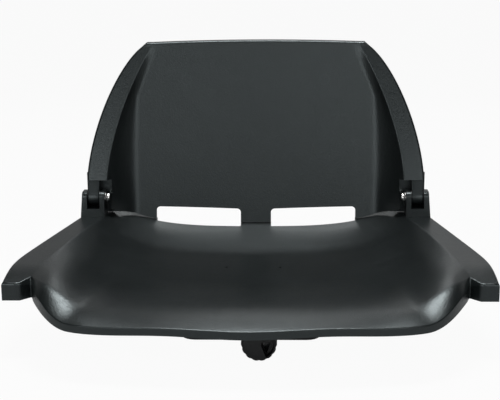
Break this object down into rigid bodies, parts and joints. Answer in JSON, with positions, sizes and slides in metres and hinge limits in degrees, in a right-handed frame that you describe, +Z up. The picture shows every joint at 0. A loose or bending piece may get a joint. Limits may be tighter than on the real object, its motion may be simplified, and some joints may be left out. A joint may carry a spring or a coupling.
{
  "type": "folding boat seat",
  "caption": "Low-back moulded plastic boat seat: a bucket pan with side rails, a back that folds down on bolted side hinges, and a swivel base with a tension knob.",
  "frame": {"origin": "on the swivel's axis, on the underside of the swivel's base plate", "axes": "+Z up along the swivel's axis, -Y towards the front lip, +X to the right as seen from the front"},
  "size_m": [0.5216, 0.4239, 0.3063],
  "materials": {
    "moulded_plastic": "fine-grained satin black",
    "knob_plastic": "satin black",
    "nylon": "black",
    "zinc_steel": "zinc plated",
    "stainless": "bright",
    "painted_steel": "black powder coat",
    "brass": "plain"
  },
  "bodies": {
    "base": {"swivel_base": "painted_steel", "thrust_ring": "nylon", "pivot_washer": "nylon", "pivot_clip": "zinc_steel"},
    "seat": {"seat_pan": "moulded_plastic", "swivel_plate": "painted_steel", "seat_insert_1": "brass", "seat_insert_2": "brass", "seat_insert_3": "brass", "seat_insert_4": "brass", "mount_bolt_1": "zinc_steel", "mount_bolt_2": "zinc_steel", "mount_bolt_3": "zinc_steel", "mount_bolt_4": "zinc_steel", "mount_washer_1": "zinc_steel", "mount_washer_2": "zinc_steel", "mount_washer_3": "zinc_steel", "mount_washer_4": "zinc_steel", "lug_nut": "zinc_steel", "brake_shoe": "nylon", "hinge_bolt_left": "stainless", "hinge_bolt_right": "stainless", "hinge_washer_left": "stainless", "hinge_washer_right": "stainless", "hinge_barrel_left": "stainless", "hinge_barrel_right": "stainless"},
    "backrest": {"back_shell": "moulded_plastic", "tongue_bush_left_outer": "nylon", "tongue_bush_left_inner": "nylon", "tongue_bush_right_outer": "nylon", "tongue_bush_right_inner": "nylon"},
    "knob": {"tension_knob": "knob_plastic", "tension_stud": "zinc_steel"}
  },
  "joints": [
    {"name": "seat_swivel", "type": "hinge", "parent": "base", "child": "seat", "pos_m": [0, 0, 0.033], "axis": [0, 0, 1], "continuous": true},
    {"name": "back_fold", "type": "hinge", "parent": "seat", "child": "backrest", "pos_m": [0, 0.131, 0.1153], "axis": [1, 0, 0], "range_deg": [0, 124]},
    {"name": "knob_turn", "type": "hinge", "parent": "seat", "child": "knob", "pos_m": [0.011, -0.077, 0.0213], "axis": [0, 1, 0], "range_deg": [0, 288]}
  ]
}
